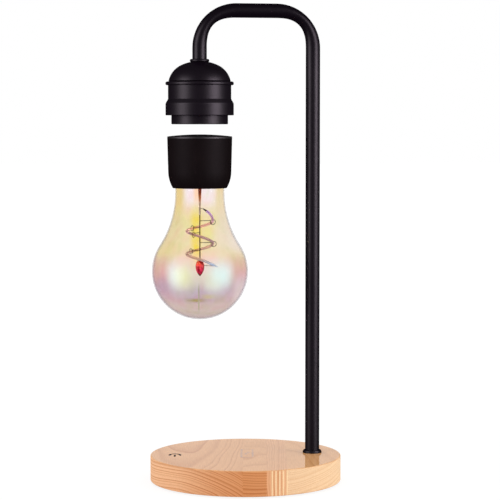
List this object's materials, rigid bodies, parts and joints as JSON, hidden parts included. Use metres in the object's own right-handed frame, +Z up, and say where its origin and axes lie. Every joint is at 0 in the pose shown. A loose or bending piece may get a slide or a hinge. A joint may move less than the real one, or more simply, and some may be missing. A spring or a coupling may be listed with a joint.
{
  "type": "magnetic balance lamp",
  "caption": "Magnetic balance lamp: a round wooden base and a bent black tube arm with a magnetic head, below which a glass filament bulb floats.",
  "frame": {"origin": "centre of the round base on the table", "axes": "+Z up, +X from the centre of the base to the post; the arm lies in the XZ plane, and the charging inlet faces +Y"},
  "size_m": [0.16, 0.16, 0.3995],
  "materials": {
    "wood": "clear satin lacquer",
    "black_metal": "satin black powder coat",
    "black_plastic": "satin moulded black",
    "cap_plastic": "fine matt black",
    "cover_plastic": "moulded black",
    "rubber": "plain",
    "steel": "zinc plated",
    "ballast": "plain",
    "board": "solder mask",
    "copper": "enamelled wire",
    "ferrite": "sintered",
    "nickel": "nickel plated",
    "iron": "turned",
    "bobbin": "natural nylon",
    "brass": "turned",
    "cable": "PVC",
    "glass": "pearl lustre coating",
    "stem_glass": "clear",
    "bead_glass": "clear red",
    "cement": "set cement",
    "filament": "silicone",
    "wire": "drawn"
  },
  "bodies": {
    "stand": {"wood_base": "wood", "bottom_cover": "cover_plastic", "rubber_feet": "rubber", "cover_screws": "steel", "ballast_plate": "ballast", "main_board": "board", "board_screws": "steel", "charging_coil": "copper", "charging_ferrite": "ferrite", "coil_plate": "cover_plastic", "coil_screws": "steel", "coil_leads": "cable", "touch_board": "board", "touch_lead": "cable", "dc_jack": "cover_plastic", "jack_pin": "nickel", "jack_nut": "nickel", "jack_leads": "cable", "foot_collar": "black_metal", "foot_nipple": "brass", "foot_washer": "steel", "foot_nut": "steel", "arm_tube": "black_metal", "arm_cable": "cable", "neck_collar": "black_metal", "head_nipple": "brass", "head_nut": "steel", "head_dome": "black_plastic", "head_body": "black_plastic", "head_ring": "black_plastic", "power_coil": "copper", "hall_board": "board", "power_ferrite": "ferrite", "bias_magnet": "nickel", "coil_bobbin": "bobbin", "coil_winding": "copper", "iron_core": "iron", "drive_board": "board"},
    "magnet": {"levitation_magnet": "nickel"},
    "bulb": {"bulb_cap": "cap_plastic", "cap_lid": "cap_plastic", "magnet_holder": "cover_plastic", "receiver_ferrite": "ferrite", "receiver_coil": "copper", "driver_board": "board", "cement_ring": "cement", "glass_bulb": "glass", "glass_stem": "stem_glass", "stem_leads": "wire", "centre_rod": "wire", "glass_bead": "bead_glass", "filament": "filament", "filament_clips": "wire", "lead_wires": "wire", "support_hooks": "wire"}
  },
  "joints": [
    {"name": "bulb_float", "type": "slide", "parent": "stand", "child": "magnet", "axis": [0, 0, 1], "range_m": [-0.02, 0.008], "stiffness_N_per_m": 250, "springref_m": 0.0053},
    {"name": "bulb_spin", "type": "hinge", "parent": "magnet", "child": "bulb", "pos_m": [-0.0385, 0, 0.278], "axis": [0, 0, 1], "continuous": true}
  ]
}
